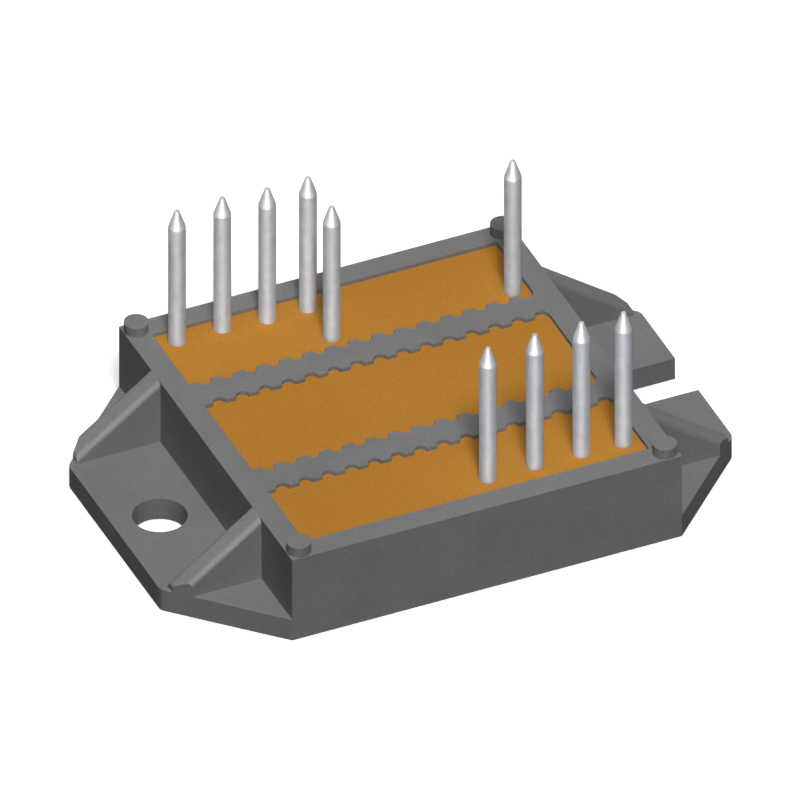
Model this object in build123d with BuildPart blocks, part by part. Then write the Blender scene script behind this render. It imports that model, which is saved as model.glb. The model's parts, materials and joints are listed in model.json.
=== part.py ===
from build123d import *
import os

os.makedirs("parts", exist_ok=True)

# All sizes are in millimetres. The origin is the centre of the mounting face, on the underside of
# the base copper. +X points to the slotted ear, +Y to the back row of pins, and +Z up along the pins.

# Housing frame
body_length = 42.9
body_depth = 42.8
body_height = 10.05
wall_thickness = 2.5
copper_stand_off = 0.1

# Mounting ears
ear_reach = 10.05
ear_thickness = 2.57
ear_corner_radius = 1.1
screw_spacing = 53.0
screw_hole_diameter = 5.6
slot_width = 5.75
slot_end_inset = 1.3

# Gusset ribs on the ears
rib_thickness = 2.6
rib_spacing = 25.0
rib_edge_radius = 0.6
rib_end_setback = 0.9
rib_trim = 2.0

# Cross bars with a row of round notches along both edges
bar_spacing = 15.64
bar_width = 3.9
bar_height = 3.0
notch_pitch = 2.53
notch_radius = 0.7
notch_row_shift = 0.42
notch_end_margin = 1.1

# Standoff bosses on the rim corners
boss_diameter = 2.5
boss_height = 1.15
boss_edge_clearance = 0.05

# Substrate under the housing
copper_thickness = 0.3
ceramic_thickness = 0.63
ceramic_overlap = 1.15
copper_edge_margin = 0.8
sealant_thickness = 0.15

# Conductor tracks on the ceramic
track_wall_clearance = 0.1
track_gap = 0.8
side_track_width = 9.25
gate_track_width = 3.6
gate_track_front_margin = 2.6
minus_track_depth = 12.85

# Chips and what holds them
thyristor_size = 7.5
thyristor_thickness = 0.35
diode_size = 6.5
diode_thickness = 0.3
chip_edge_bevel = 0.08
solder_thickness = 0.1
solder_rim = 0.2
thyristor_back_margin = 2.95
diode_back_margin = 1.0
freewheel_front_margin = 0.95

# Bond wires
power_wire_thickness = 0.35
power_wire_pitch = 1.3
gate_wire_thickness = 0.2
gate_wire_side = 2.9
gate_track_overlap = 0.6
wire_foot_length = 0.8
wire_foot_margin = 0.5
wire_loop_height = 1.2
wire_rise_run = 0.8
wire_bend_radius = 0.4

# Terminal pins. Rows are placed from the inside faces of the walls and from the back cross bar
pin_diameter = 1.8
pin_neck_diameter = 1.35
pin_projection = 16.45
pin_cone_length = 2.0
pin_tip_diameter = 0.5
pin_foot_diameter = 2.2
pin_foot_height = 0.35
pin_solder_rim = 0.1
back_row_from_left = (2.05, 7.1, 11.85, 16.35)
back_row_from_back = (1.6, 1.45, 1.9, 1.85)
second_row_from_left = 16.55
second_row_from_bar = 1.85
side_pin_from_right = 1.6
side_pin_from_bar = 1.45
front_row_from_right = (16.6, 11.4, 6.3, 1.75)
front_row_from_front = (2.55, 2.65, 2.6, 2.4)

# Filling
resin_recess = 0.45
resin_thickness = 4.1

# Levels above the mounting face
plastic_base = copper_stand_off
rim_top = plastic_base + body_height
ear_top = plastic_base + ear_thickness
ceramic_base = copper_thickness
ceramic_top = ceramic_base + ceramic_thickness
ledge_level = ceramic_top + sealant_thickness
track_top = ceramic_top + copper_thickness
solder_top = track_top + solder_thickness
resin_top = rim_top - resin_recess
resin_base = resin_top - resin_thickness

# Plan positions
cavity_length = body_length - 2 * wall_thickness
cavity_depth = body_depth - 2 * wall_thickness
left_wall = -cavity_length / 2
right_wall = cavity_length / 2
front_wall = -cavity_depth / 2
back_wall = cavity_depth / 2
ceramic_length = cavity_length + 2 * ceramic_overlap
ceramic_depth = cavity_depth + 2 * ceramic_overlap
seat_length = ceramic_length + 2 * sealant_thickness
seat_depth = ceramic_depth + 2 * sealant_thickness
ear_edge = body_length / 2 + ear_reach
ear_half_width = body_depth / 2 - ear_reach
slot_end = screw_spacing / 2 - slot_end_inset
bar_back_face = (bar_spacing + bar_width) / 2

# One moulding: frame, ears, ribs, bars and bosses
with BuildSketch(Plane.XY.offset(plastic_base)) as ear_plan:
    with BuildLine():
        Polyline(
            (-ear_edge, ear_half_width),
            (-body_length / 2, body_depth / 2),
            (body_length / 2, body_depth / 2),
            (ear_edge, ear_half_width),
            (ear_edge, -ear_half_width),
            (body_length / 2, -body_depth / 2),
            (-body_length / 2, -body_depth / 2),
            (-ear_edge, -ear_half_width),
            close=True,
        )
    make_face()
    outer_corners = ear_plan.vertices().filter_by(lambda corner: abs(corner.X) > body_length / 2 + ear_reach / 2)
    fillet(outer_corners, ear_corner_radius)

# The rib's top slopes from the rim's edge towards the ear's edge and stops short of it in a low end face.
# It is drawn longer at its upper end and deeper below, and trimmed to the plan of the ears.
rib_gradient = (body_height - ear_thickness) / ear_reach
rib_inner = body_length / 2 - rib_trim
rib_outer = ear_edge - rib_end_setback
rib_floor = ear_top - ear_thickness / 2
with BuildPart() as ribs:
    for side in (-1, 1):
        for rib_y in (-rib_spacing / 2, rib_spacing / 2):
            with BuildSketch(Plane.XZ.offset(-rib_y)):
                with BuildLine():
                    Polyline(
                        (side * rib_inner, rim_top + rib_gradient * rib_trim),
                        (side * rib_outer, ear_top + rib_gradient * rib_end_setback),
                        (side * rib_outer, rib_floor),
                        (side * rib_inner, rib_floor),
                        close=True,
                    )
                make_face()
            extrude(amount=rib_thickness / 2, both=True)
    sloping_faces = ribs.faces().filter_by(lambda face: 0.1 < face.normal_at().Z < 0.99)
    rounded_edges = sloping_faces.edges().filter_by(lambda edge: edge.center().Z < rim_top)
    fillet(rounded_edges, rib_edge_radius)
    add(ear_plan.sketch)
    extrude(amount=body_height, mode=Mode.INTERSECT)

notch_count = int((cavity_length - 2 * notch_end_margin) // notch_pitch) + 1

with BuildPart() as housing:
    add(ear_plan.sketch)
    extrude(amount=ear_thickness)
    with BuildSketch(Plane.XY.offset(plastic_base)):
        Rectangle(body_length, body_depth)
    extrude(amount=body_height)
    add(ribs.part)
    with BuildSketch(Plane.XY.offset(plastic_base)):
        Rectangle(cavity_length, cavity_depth)
    extrude(amount=body_height, mode=Mode.SUBTRACT)
    with BuildSketch(Plane.XY.offset(plastic_base)):
        Rectangle(seat_length, seat_depth)
    extrude(amount=ledge_level - plastic_base, mode=Mode.SUBTRACT)
    with BuildSketch(Plane.XY.offset(rim_top)):
        with Locations((0, -bar_spacing / 2), (0, bar_spacing / 2)):
            Rectangle(cavity_length, bar_width)
        for bar_y in (-bar_spacing / 2, bar_spacing / 2):
            with Locations((notch_row_shift, bar_y)):
                with GridLocations(notch_pitch, bar_width, notch_count, 2):
                    Circle(notch_radius, mode=Mode.SUBTRACT)
    extrude(amount=-bar_height)
    with BuildSketch(Plane.XY.offset(rim_top)):
        boss_inset = boss_diameter + 2 * boss_edge_clearance
        with GridLocations(body_length - boss_inset, body_depth - boss_inset, 2, 2):
            Circle(boss_diameter / 2)
    extrude(amount=boss_height)
    with BuildSketch(Plane.XY.offset(plastic_base)):
        with Locations((-screw_spacing / 2, 0)):
            Circle(screw_hole_diameter / 2)
        with Locations((slot_end, 0)):
            Circle(slot_width / 2)
            Rectangle(ear_reach, slot_width, align=(Align.MIN, Align.CENTER))
    extrude(amount=ear_thickness, mode=Mode.SUBTRACT)

housing.part.label = "housing"
export_step(housing.part, "parts/housing.step")

# Ceramic plate with its copper foil underneath and the sealant that holds it in the housing's seat
with BuildPart() as base_copper:
    with BuildSketch():
        Rectangle(ceramic_length - 2 * copper_edge_margin, ceramic_depth - 2 * copper_edge_margin)
    extrude(amount=copper_thickness)

base_copper.part.label = "base_copper"
export_step(base_copper.part, "parts/base_copper.step")

with BuildPart() as ceramic_substrate:
    with BuildSketch(Plane.XY.offset(ceramic_base)):
        Rectangle(ceramic_length, ceramic_depth)
    extrude(amount=ceramic_thickness)

ceramic_substrate.part.label = "ceramic_substrate"
export_step(ceramic_substrate.part, "parts/ceramic_substrate.step")

with BuildPart() as edge_sealant:
    with BuildSketch(Plane.XY.offset(ceramic_base)):
        Rectangle(seat_length, seat_depth)
    extrude(amount=ledge_level - ceramic_base)
    with BuildSketch(Plane.XY.offset(ceramic_top)):
        Rectangle(cavity_length, cavity_depth)
    extrude(amount=sealant_thickness, mode=Mode.SUBTRACT)
    add(ceramic_substrate.part, mode=Mode.SUBTRACT)

edge_sealant.part.label = "edge_sealant"
export_step(edge_sealant.part, "parts/edge_sealant.step")

# Pin positions in the order of their numbers
back_row = [(left_wall + x, back_wall - y) for x, y in zip(back_row_from_left, back_row_from_back)]
second_row_pin = (left_wall + second_row_from_left, bar_back_face + second_row_from_bar)
side_pin = (right_wall - side_pin_from_right, bar_back_face + side_pin_from_bar)
front_row = [(right_wall - x, front_wall + y) for x, y in zip(front_row_from_right, front_row_from_front)]
pin_positions = back_row + [second_row_pin, side_pin] + front_row

# Edges of the conductor tracks
track_left = left_wall + track_wall_clearance
track_right = right_wall - track_wall_clearance
track_front = front_wall + track_wall_clearance
track_back = back_wall - track_wall_clearance
left_column_edge = track_left + side_track_width
right_column_edge = track_right - side_track_width
middle_left = left_column_edge + track_gap
middle_right = right_column_edge - track_gap
stem_left = middle_left + gate_track_width + track_gap
stem_right = middle_right - gate_track_width - track_gap
minus_back = track_front + minus_track_depth
plus_front = minus_back + track_gap
gate_arm_front = side_pin[1] - gate_track_front_margin
right_column_back = gate_arm_front - track_gap

# Chip positions
thyristor_y = right_column_back - thyristor_back_margin - thyristor_size / 2
diode_y = minus_back - diode_back_margin - diode_size / 2
left_chip_x = (track_left + left_column_edge) / 2
right_chip_x = (track_right + right_column_edge) / 2
freewheel_y = plus_front + freewheel_front_margin + diode_size / 2
gate_wire_y = thyristor_y + gate_wire_side
gate_strip_front = gate_wire_y - gate_track_overlap
plus_shoulder = gate_strip_front - track_gap


# A track is the union of rectangles given as left, front, right and back edges
def make_track(rectangles):
    with BuildPart() as track:
        with BuildSketch(Plane.XY.offset(ceramic_top)):
            for left, front, right, back in rectangles:
                with Locations(((left + right) / 2, (front + back) / 2)):
                    Rectangle(right - left, back - front)
        extrude(amount=copper_thickness)
    return track


track_outlines = {
    "conductor_ac_one": [(track_left, track_front, left_column_edge, track_back)],
    "conductor_ac_two": [(right_column_edge, track_front, track_right, right_column_back)],
    "conductor_plus": [
        (middle_left, plus_front, middle_right, plus_shoulder),
        (stem_left, plus_front, stem_right, track_back),
    ],
    "conductor_minus": [(middle_left, track_front, middle_right, minus_back)],
    "conductor_gate_one": [(middle_left, gate_strip_front, middle_left + gate_track_width, track_back)],
    "conductor_gate_two": [
        (middle_right - gate_track_width, gate_strip_front, middle_right, track_back),
        (middle_right - gate_track_width, gate_arm_front, track_right, track_back),
    ],
}

buried_parts = []
for track_name, rectangles in track_outlines.items():
    track = make_track(rectangles)
    track.part.label = track_name
    export_step(track.part, f"parts/{track_name}.step")
    buried_parts.append(track.part)


def make_chip_solder(chip_x, chip_y, chip_size):
    with BuildPart() as solder:
        with BuildSketch(Plane.XY.offset(track_top)):
            with Locations((chip_x, chip_y)):
                Rectangle(chip_size + 2 * solder_rim, chip_size + 2 * solder_rim)
        extrude(amount=solder_thickness)
    return solder


# A chip has bevelled upper edges
def make_chip(chip_x, chip_y, chip_size, chip_thickness):
    with BuildPart() as chip:
        with BuildSketch(Plane.XY.offset(solder_top)):
            with Locations((chip_x, chip_y)):
                Rectangle(chip_size, chip_size)
        extrude(amount=chip_thickness)
        chamfer(chip.edges().group_by(Axis.Z)[-1], chip_edge_bevel)
    return chip


chips = {
    "thyristor_chip_one": (left_chip_x, thyristor_y, thyristor_size, thyristor_thickness),
    "thyristor_chip_two": (right_chip_x, thyristor_y, thyristor_size, thyristor_thickness),
    "diode_chip_one": (left_chip_x, diode_y, diode_size, diode_thickness),
    "diode_chip_two": (right_chip_x, diode_y, diode_size, diode_thickness),
    "freewheel_diode_chip": (0, freewheel_y, diode_size, diode_thickness),
}

for chip_name, (chip_x, chip_y, chip_size, chip_thickness) in chips.items():
    solder = make_chip_solder(chip_x, chip_y, chip_size)
    solder.part.label = f"{chip_name}_solder"
    export_step(solder.part, f"parts/{chip_name}_solder.step")
    chip = make_chip(chip_x, chip_y, chip_size, chip_thickness)
    chip.part.label = chip_name
    export_step(chip.part, f"parts/{chip_name}.step")
    buried_parts += [solder.part, chip.part]


# Wires start on a chip, run level along one direction in a low loop and end on the next track.
# start is where the first foot begins, and each wire of the group lies on its own sideways offset.
def make_bond_wires(start, direction, reach, chip_thickness, thickness, sideways):
    chip_level = solder_top + chip_thickness + thickness / 2
    track_level = track_top + thickness / 2
    loop_level = chip_level + wire_loop_height
    wire_plane = Plane(origin=(*start, 0), x_dir=direction, z_dir=Vector(direction).cross(Vector(0, 0, 1)))
    with BuildPart() as wires:
        for offset_y in sideways:
            with BuildSketch(wire_plane.offset(offset_y)):
                with BuildLine():
                    FilletPolyline(
                        (0, chip_level),
                        (wire_foot_length, chip_level),
                        (wire_foot_length + wire_rise_run, loop_level),
                        (reach - wire_foot_length - wire_rise_run, loop_level),
                        (reach - wire_foot_length, track_level),
                        (reach, track_level),
                        radius=wire_bend_radius,
                    )
                trace(line_width=thickness)
            extrude(amount=thickness / 2, both=True)
    return wires


foot_span = wire_foot_length + wire_foot_margin
thyristor_edge = thyristor_size / 2 - foot_span
diode_edge = diode_size / 2 - foot_span
left_landing = middle_left + foot_span
right_landing = middle_right - foot_span
freewheel_start = freewheel_y - diode_edge
power_offsets = (-power_wire_pitch, 0, power_wire_pitch)

# For each group: first foot, direction, reach, chip thickness, wire thickness and sideways offsets
wire_groups = {
    "thyristor_one_wires": (
        (left_chip_x + thyristor_edge, thyristor_y - power_wire_pitch / 2), (1, 0, 0),
        left_landing - left_chip_x - thyristor_edge, thyristor_thickness, power_wire_thickness, power_offsets,
    ),
    "thyristor_two_wires": (
        (right_chip_x - thyristor_edge, thyristor_y - power_wire_pitch / 2), (-1, 0, 0),
        right_chip_x - thyristor_edge - right_landing, thyristor_thickness, power_wire_thickness, power_offsets,
    ),
    "diode_one_wires": (
        (left_chip_x + diode_edge, diode_y), (1, 0, 0),
        left_landing - left_chip_x - diode_edge, diode_thickness, power_wire_thickness, power_offsets,
    ),
    "diode_two_wires": (
        (right_chip_x - diode_edge, diode_y), (-1, 0, 0),
        right_chip_x - diode_edge - right_landing, diode_thickness, power_wire_thickness, power_offsets,
    ),
    "freewheel_diode_wires": (
        (0, freewheel_start), (0, -1, 0),
        freewheel_start - minus_back + foot_span, diode_thickness, power_wire_thickness, power_offsets,
    ),
    "gate_one_wire": (
        (left_chip_x + thyristor_edge, gate_wire_y), (1, 0, 0),
        left_landing - left_chip_x - thyristor_edge, thyristor_thickness, gate_wire_thickness, (0,),
    ),
    "gate_two_wire": (
        (right_chip_x - thyristor_edge, gate_wire_y), (-1, 0, 0),
        right_chip_x - thyristor_edge - right_landing, thyristor_thickness, gate_wire_thickness, (0,),
    ),
}

for wire_name, wire_values in wire_groups.items():
    wires = make_bond_wires(*wire_values)
    wires.part.label = wire_name
    export_step(wires.part, f"parts/{wire_name}.step")
    buried_parts.append(wires.part)


# Solder wets the side of the pin's foot up to its top edge
def make_pin_solder(pin_x, pin_y):
    foot_radius = pin_foot_diameter / 2
    with BuildPart() as solder:
        with BuildSketch(Plane(origin=(pin_x, pin_y, track_top), x_dir=(1, 0, 0), z_dir=(0, -1, 0))):
            with BuildLine():
                Polyline(
                    (0, 0),
                    (foot_radius + pin_solder_rim, 0),
                    (foot_radius, solder_thickness + pin_foot_height),
                    (foot_radius, solder_thickness),
                    (0, solder_thickness),
                    close=True,
                )
            make_face()
        revolve(axis=Axis((pin_x, pin_y, 0), (0, 0, 1)))
    return solder


# A headed pin: its foot is soldered to a track, its thinner neck is held by the gel and the resin, and its
# shaft begins with a shoulder on the resin's surface and ends in a cone tip
def make_pin(pin_x, pin_y):
    pin_length = resin_top + pin_projection - solder_top
    neck_end = resin_top - solder_top
    with BuildPart() as pin:
        with BuildSketch(Plane(origin=(pin_x, pin_y, solder_top), x_dir=(1, 0, 0), z_dir=(0, -1, 0))):
            with BuildLine():
                Polyline(
                    (0, 0),
                    (pin_foot_diameter / 2, 0),
                    (pin_foot_diameter / 2, pin_foot_height),
                    (pin_neck_diameter / 2, pin_foot_height),
                    (pin_neck_diameter / 2, neck_end),
                    (pin_diameter / 2, neck_end),
                    (pin_diameter / 2, pin_length - pin_cone_length),
                    (pin_tip_diameter / 2, pin_length),
                    (0, pin_length),
                    close=True,
                )
            make_face()
        revolve(axis=Axis((pin_x, pin_y, 0), (0, 0, 1)))
    return pin


pin_parts = []
for pin_number, (pin_x, pin_y) in enumerate(pin_positions, start=1):
    solder = make_pin_solder(pin_x, pin_y)
    solder.part.label = f"pin_solder_{pin_number}"
    export_step(solder.part, f"parts/pin_solder_{pin_number}.step")
    pin = make_pin(pin_x, pin_y)
    pin.part.label = f"terminal_pin_{pin_number}"
    export_step(pin.part, f"parts/terminal_pin_{pin_number}.step")
    buried_parts.append(solder.part)
    pin_parts.append(pin.part)

# Soft gel covers the chips and wires, and hard resin closes the housing above it
with BuildPart() as silicone_gel:
    with BuildSketch(Plane.XY.offset(ceramic_top)):
        Rectangle(cavity_length, cavity_depth)
    extrude(amount=resin_base - ceramic_top)
    for piece in buried_parts + pin_parts:
        add(piece, mode=Mode.SUBTRACT)

silicone_gel.part.label = "silicone_gel"
export_step(silicone_gel.part, "parts/silicone_gel.step")

with BuildPart() as potting_resin:
    with BuildSketch(Plane.XY.offset(resin_base)):
        Rectangle(cavity_length, cavity_depth)
    extrude(amount=resin_thickness)
    for piece in pin_parts + [housing.part]:
        add(piece, mode=Mode.SUBTRACT)

potting_resin.part.label = "potting_resin"
export_step(potting_resin.part, "parts/potting_resin.step")
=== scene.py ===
import json
import math

import bpy
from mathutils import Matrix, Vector

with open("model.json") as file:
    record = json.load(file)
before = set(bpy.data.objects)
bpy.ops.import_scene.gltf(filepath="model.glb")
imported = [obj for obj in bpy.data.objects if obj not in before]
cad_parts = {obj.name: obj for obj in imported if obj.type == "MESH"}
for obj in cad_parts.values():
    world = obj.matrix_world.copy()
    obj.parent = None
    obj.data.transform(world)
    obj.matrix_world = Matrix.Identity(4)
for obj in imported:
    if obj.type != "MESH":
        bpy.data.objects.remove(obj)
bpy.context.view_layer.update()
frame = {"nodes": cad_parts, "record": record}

MM = 0.001

# The colour sockets of a Mix node share their names with its number sockets, so they are taken by place
MIX_FIRST_COLOUR = 6
MIX_SECOND_COLOUR = 7
MIX_RESULT_COLOUR = 2


# Node helpers
def new_material(name):
    material = bpy.data.materials.new(name)
    material.use_nodes = True
    tree = material.node_tree
    shader = tree.nodes["Principled BSDF"]
    return material, tree, shader


# Another node's output is linked to the socket, and a colour or a number is set on it
def feed(tree, value, socket):
    if isinstance(value, bpy.types.NodeSocket):
        tree.links.new(value, socket)
    elif isinstance(value, tuple):
        socket.default_value = (*value, 1)
    else:
        socket.default_value = value


def object_coordinates(tree, stretch=(1, 1, 1)):
    coordinates = tree.nodes.new("ShaderNodeTexCoord")
    mapping = tree.nodes.new("ShaderNodeMapping")
    mapping.inputs["Scale"].default_value = stretch
    tree.links.new(coordinates.outputs["Object"], mapping.inputs["Vector"])
    return mapping.outputs["Vector"]


def noise(tree, vector, size_mm, detail=3.0, roughness=0.5):
    texture = tree.nodes.new("ShaderNodeTexNoise")
    texture.inputs["Scale"].default_value = 1 / (size_mm * MM)
    texture.inputs["Detail"].default_value = detail
    texture.inputs["Roughness"].default_value = roughness
    tree.links.new(vector, texture.inputs["Vector"])
    return texture.outputs["Fac"]


def spread(tree, value, low, high, from_low=0.3, from_high=0.7):
    mapped = tree.nodes.new("ShaderNodeMapRange")
    mapped.inputs["From Min"].default_value = from_low
    mapped.inputs["From Max"].default_value = from_high
    mapped.inputs["To Min"].default_value = low
    mapped.inputs["To Max"].default_value = high
    tree.links.new(value, mapped.inputs["Value"])
    return mapped.outputs["Result"]


def combine(tree, first, second, operation):
    node = tree.nodes.new("ShaderNodeMath")
    node.operation = operation
    tree.links.new(first, node.inputs[0])
    tree.links.new(second, node.inputs[1])
    return node.outputs["Value"]


def mix_colours(tree, factor, first, second, blend="MIX"):
    node = tree.nodes.new("ShaderNodeMix")
    node.data_type = "RGBA"
    node.blend_type = blend
    feed(tree, factor, node.inputs["Factor"])
    feed(tree, first, node.inputs[MIX_FIRST_COLOUR])
    feed(tree, second, node.inputs[MIX_SECOND_COLOUR])
    return node.outputs[MIX_RESULT_COLOUR]


def bump(tree, height, distance_mm, strength, normal=None):
    node = tree.nodes.new("ShaderNodeBump")
    node.inputs["Strength"].default_value = strength
    node.inputs["Distance"].default_value = distance_mm * MM
    tree.links.new(height, node.inputs["Height"])
    if normal is not None:
        tree.links.new(normal, node.inputs["Normal"])
    return node.outputs["Normal"]


# The shading rounds sharp edges by this radius
def soft_edges(tree, radius_mm):
    node = tree.nodes.new("ShaderNodeBevel")
    node.samples = 6
    node.inputs["Radius"].default_value = radius_mm * MM
    return node.outputs["Normal"]


# All the shine is that of a thin coat, as rough and as bumpy as the surface below it
def coat(tree, shader, weight, roughness, surface):
    shader.inputs["Specular IOR Level"].default_value = 0.0
    shader.inputs["Coat Weight"].default_value = weight
    tree.links.new(roughness, shader.inputs["Roughness"])
    tree.links.new(roughness, shader.inputs["Coat Roughness"])
    tree.links.new(surface, shader.inputs["Normal"])
    tree.links.new(surface, shader.inputs["Coat Normal"])


# Moulded plastic: fine mould grain and faint flow mottling, with a thin gloss on top
def housing_plastic():
    material, tree, shader = new_material("housing_plastic")
    vector = object_coordinates(tree)
    grain = noise(tree, vector, size_mm=0.22, detail=2.0)
    mottle = noise(tree, vector, size_mm=5.0, detail=4.0, roughness=0.6)
    tone = mix_colours(tree, spread(tree, mottle, 0, 1), (0.178, 0.178, 0.180), (0.201, 0.201, 0.202))
    speck_share = spread(tree, grain, 0, 1, from_low=0.35, from_high=0.65)
    speck = mix_colours(tree, speck_share, (0.93, 0.93, 0.93), (1.06, 1.06, 1.06))
    base = mix_colours(tree, 1, tone, speck, blend="MULTIPLY")
    tree.links.new(base, shader.inputs["Base Color"])
    edges = soft_edges(tree, radius_mm=0.06)
    surface = bump(tree, grain, distance_mm=0.02, strength=0.5, normal=edges)
    coat(tree, shader, 0.055, spread(tree, grain, 0.54, 0.46), surface)
    return material


# Cast resin: satin, with fine mineral filler showing as specks and a barely uneven pour
def potting_resin():
    material, tree, shader = new_material("potting_resin")
    vector = object_coordinates(tree)
    filler = noise(tree, vector, size_mm=0.16, detail=2.0, roughness=0.6)
    cloud = noise(tree, vector, size_mm=3.5)
    waves = noise(tree, vector, size_mm=6.0, detail=2.0)
    speck_share = spread(tree, filler, 0, 1, from_low=0.32, from_high=0.68)
    speckled = mix_colours(tree, speck_share, (0.415, 0.182, 0.027), (0.51, 0.230, 0.036))
    base = mix_colours(tree, spread(tree, cloud, 0, 0.35), speckled, (0.45, 0.194, 0.029))
    tree.links.new(base, shader.inputs["Base Color"])
    specks = bump(tree, filler, distance_mm=0.012, strength=0.5)
    surface = bump(tree, waves, distance_mm=0.08, strength=0.3, normal=specks)
    coat(tree, shader, 0.02, spread(tree, filler, 0.40, 0.52), surface)
    return material


# Tin-plated pin: satin and mostly diffuse, as in the picture, with faint drawing lines along it
def tinned_copper():
    material, tree, shader = new_material("tinned_copper")
    lines = noise(tree, object_coordinates(tree, stretch=(1, 1, 0.04)), size_mm=0.12, detail=2.0)
    patches = noise(tree, object_coordinates(tree), size_mm=0.9)
    base = mix_colours(tree, spread(tree, patches, 0, 1), (0.42, 0.433, 0.455), (0.475, 0.489, 0.512))
    tree.links.new(base, shader.inputs["Base Color"])
    shader.inputs["Metallic"].default_value = 0.065
    shader.inputs["Specular IOR Level"].default_value = 0.0
    roughness = combine(tree, spread(tree, lines, 0.0, 0.08), spread(tree, patches, 0.50, 0.58), "ADD")
    tree.links.new(roughness, shader.inputs["Roughness"])
    edges = soft_edges(tree, radius_mm=0.08)
    surface = bump(tree, lines, distance_mm=0.006, strength=0.35, normal=edges)
    tree.links.new(surface, shader.inputs["Normal"])
    return material


# Patches between two tones, with one fine grain in both the gloss and the height
def even_finish(name, dark, pale, smoothest, roughest, grain_mm, patch_mm, bump_mm):
    material, tree, shader = new_material(name)
    vector = object_coordinates(tree)
    grain = noise(tree, vector, grain_mm)
    patches = noise(tree, vector, patch_mm, detail=4.0)
    base = mix_colours(tree, spread(tree, patches, 0, 1), dark, pale)
    tree.links.new(base, shader.inputs["Base Color"])
    tree.links.new(spread(tree, grain, smoothest, roughest), shader.inputs["Roughness"])
    tree.links.new(bump(tree, grain, bump_mm, strength=0.5), shader.inputs["Normal"])
    return material, shader


def plain_metal(name, dark, pale, rough, grain_mm, bump_mm=0.01):
    material, shader = even_finish(name, dark, pale, rough - 0.06, rough + 0.08, grain_mm, 4.0, bump_mm)
    shader.inputs["Metallic"].default_value = 1.0
    return material


def plain_solid(name, dark, pale, rough, grain_mm, bump_mm=0.01, specular=0.4):
    material, shader = even_finish(name, dark, pale, rough - 0.05, rough + 0.08, grain_mm, 3.0, bump_mm)
    shader.inputs["Specular IOR Level"].default_value = specular
    return material


# Materials by the slots of the record
plain_metals = {
    "copper": {
        "dark": (0.60, 0.27, 0.165), "pale": (0.66, 0.31, 0.195), "rough": 0.36, "grain_mm": 0.25,
    },
    "bond_wire_aluminium": {
        "dark": (0.74, 0.74, 0.76), "pale": (0.82, 0.82, 0.83), "rough": 0.3, "grain_mm": 0.1,
    },
    "solder": {
        "dark": (0.52, 0.52, 0.54), "pale": (0.64, 0.64, 0.65), "rough": 0.4, "grain_mm": 0.2,
        "bump_mm": 0.03,
    },
}
plain_solids = {
    "alumina": {"dark": (0.80, 0.79, 0.75), "pale": (0.86, 0.85, 0.82), "rough": 0.5, "grain_mm": 0.15},
    "sealant": {"dark": (0.55, 0.55, 0.53), "pale": (0.64, 0.64, 0.62), "rough": 0.45, "grain_mm": 0.6},
    "gel": {"dark": (0.70, 0.72, 0.73), "pale": (0.76, 0.78, 0.78), "rough": 0.15, "grain_mm": 2.0},
    "silicon": {
        "dark": (0.12, 0.13, 0.16), "pale": (0.15, 0.16, 0.19), "rough": 0.25, "grain_mm": 0.5,
        "bump_mm": 0.002, "specular": 0.8,
    },
}
slot_materials = {
    "housing_plastic": housing_plastic(),
    "potting_resin": potting_resin(),
    "tinned_copper": tinned_copper(),
}
for slot, finish in plain_metals.items():
    slot_materials[slot] = plain_metal(slot, **finish)
for slot, finish in plain_solids.items():
    slot_materials[slot] = plain_solid(slot, **finish)

node_slots = {entry["node"]: entry["material_slot"] for entry in frame["record"]["subparts"]}
for node_name, node in frame["nodes"].items():
    node.data.materials.clear()
    node.data.materials.append(slot_materials[node_slots[node_name]])


# Rays from the camera, off a gloss or through glass get the second shader, and all others the first
def choose_by_ray(tree, unseen, seen):
    paths = tree.nodes.new("ShaderNodeLightPath")
    direct = combine(tree, paths.outputs["Is Camera Ray"], paths.outputs["Is Glossy Ray"], "MAXIMUM")
    direct = combine(tree, direct, paths.outputs["Is Transmission Ray"], "MAXIMUM")
    choice = tree.nodes.new("ShaderNodeMixShader")
    tree.links.new(direct, choice.inputs[0])
    tree.links.new(unseen, choice.inputs[1])
    tree.links.new(seen, choice.inputs[2])
    return choice.outputs[0]


def grey_diffuse(tree, grey):
    node = tree.nodes.new("ShaderNodeBsdfDiffuse")
    node.inputs["Color"].default_value = (grey, grey, grey, 1)
    return node.outputs[0]


def white_light(tree, node_type, strength):
    node = tree.nodes.new(node_type)
    node.inputs["Color"].default_value = (1, 1, 1, 1)
    node.inputs["Strength"].default_value = strength
    return node.outputs[0]


# The floor looks white, in reflections too, but throws little light back on the part
def floor_material():
    material = bpy.data.materials.new("floor")
    material.use_nodes = True
    tree = material.node_tree
    tree.nodes.clear()
    bright = tree.nodes.new("ShaderNodeAddShader")
    tree.links.new(grey_diffuse(tree, 0.80), bright.inputs[0])
    tree.links.new(white_light(tree, "ShaderNodeEmission", 0.45), bright.inputs[1])
    output = tree.nodes.new("ShaderNodeOutputMaterial")
    surface = choose_by_ray(tree, grey_diffuse(tree, 0.05), bright.outputs[0])
    tree.links.new(surface, output.inputs["Surface"])
    return material


# A square floor, just below the mounting face so that the two don't coincide
floor_reach = 1.5
floor_drop = 0.02 * MM
floor_corners = [(x * floor_reach, y * floor_reach, 0) for x, y in ((-1, -1), (1, -1), (1, 1), (-1, 1))]
floor_mesh = bpy.data.meshes.new("floor")
floor_mesh.from_pydata(floor_corners, [], [(0, 1, 2, 3)])
floor = bpy.data.objects.new("floor", floor_mesh)
bpy.context.scene.collection.objects.link(floor)
floor.location.z = -floor_drop
floor.data.materials.append(floor_material())

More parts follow.
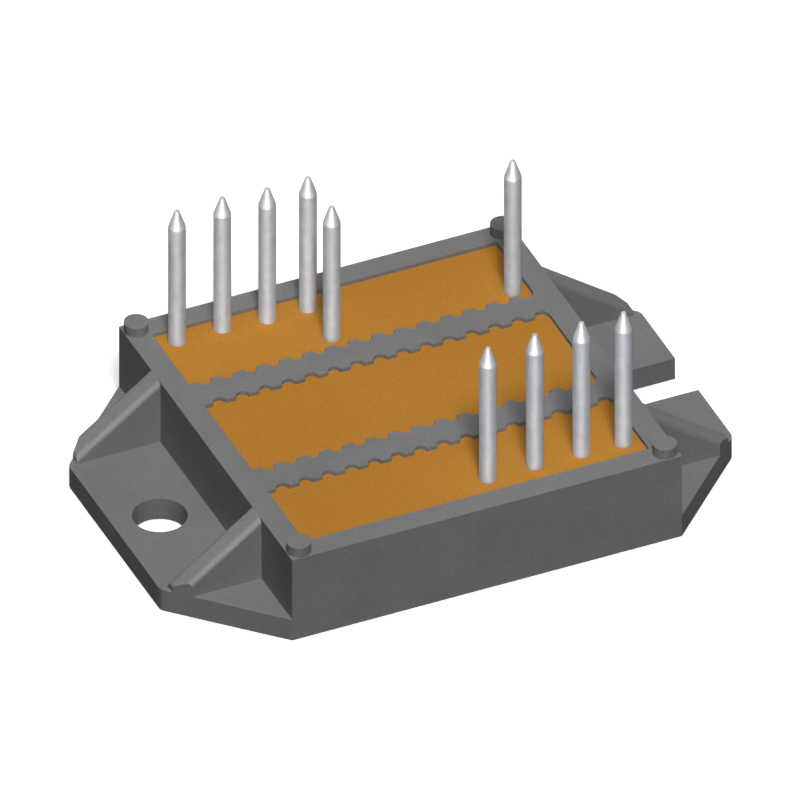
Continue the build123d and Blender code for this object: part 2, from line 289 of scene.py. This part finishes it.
# The world looks white, in reflections too, but adds little light to the part's own colours
world = bpy.data.worlds.new("world")
bpy.context.scene.world = world
world.use_nodes = True
world_tree = world.node_tree
world_tree.nodes.clear()
world_output = world_tree.nodes.new("ShaderNodeOutputWorld")
ambient = white_light(world_tree, "ShaderNodeBackground", 0.03)
backdrop = white_light(world_tree, "ShaderNodeBackground", 1.0)
world_tree.links.new(choose_by_ray(world_tree, ambient, backdrop), world_output.inputs["Surface"])


# Lamps: the first two light the surfaces, "back" is a soft fill for the far sides, and the glints only
# show in gloss, on the cone tips, the rib edges and the ribs' sloping tops
def sun(name, direction, strength, degrees_wide, glossy_only=False, shadow=True):
    lamp = bpy.data.lights.new(name, "SUN")
    lamp.energy = strength
    lamp.angle = math.radians(degrees_wide)
    lamp.use_shadow = shadow
    holder = bpy.data.objects.new(name, lamp)
    holder.visible_diffuse = not glossy_only
    holder.rotation_mode = "QUATERNION"
    holder.rotation_quaternion = Vector(direction).to_track_quat("Z", "Y")
    bpy.context.scene.collection.objects.link(holder)


sun("key", (-0.17, -0.59, 0.80), strength=2.55, degrees_wide=12)
sun("top", (0.0, -0.05, 1.0), strength=0.5, degrees_wide=20)
sun("back", (0.35, 0.93, 0.15), strength=1.6, degrees_wide=20, shadow=False)
sun("tip_glint", (-0.41, -0.91, 0.10), strength=38, degrees_wide=10, glossy_only=True)
sun("edge_glint", (-0.60, -0.43, 0.675), strength=44, degrees_wide=10, glossy_only=True)
sun("slope_glint", (-0.625, 0.454, 0.635), strength=22, degrees_wide=10, glossy_only=True)

# Camera: parallel projection, 24 degrees round to the left of the front and 37 degrees up
azimuth = math.radians(-24)
elevation = math.radians(37)
towards = Vector((
    math.sin(azimuth) * math.cos(elevation),
    -math.cos(azimuth) * math.cos(elevation),
    math.sin(elevation),
))
aim = Vector((-0.05, 0.02, 9.06)) * MM
view_width = 80.434 * MM
camera_distance = 0.5
camera_data = bpy.data.cameras.new("camera")
camera_data.type = "ORTHO"
camera_data.ortho_scale = view_width
camera_data.clip_start = 0.01
camera_data.clip_end = 5
camera = bpy.data.objects.new("camera", camera_data)
camera.rotation_mode = "QUATERNION"
camera.location = aim + towards * camera_distance
camera.rotation_quaternion = (-towards).to_track_quat("-Z", "Y")
bpy.context.scene.collection.objects.link(camera)
bpy.context.scene.camera = camera

bpy.context.scene.view_settings.view_transform = "Standard"
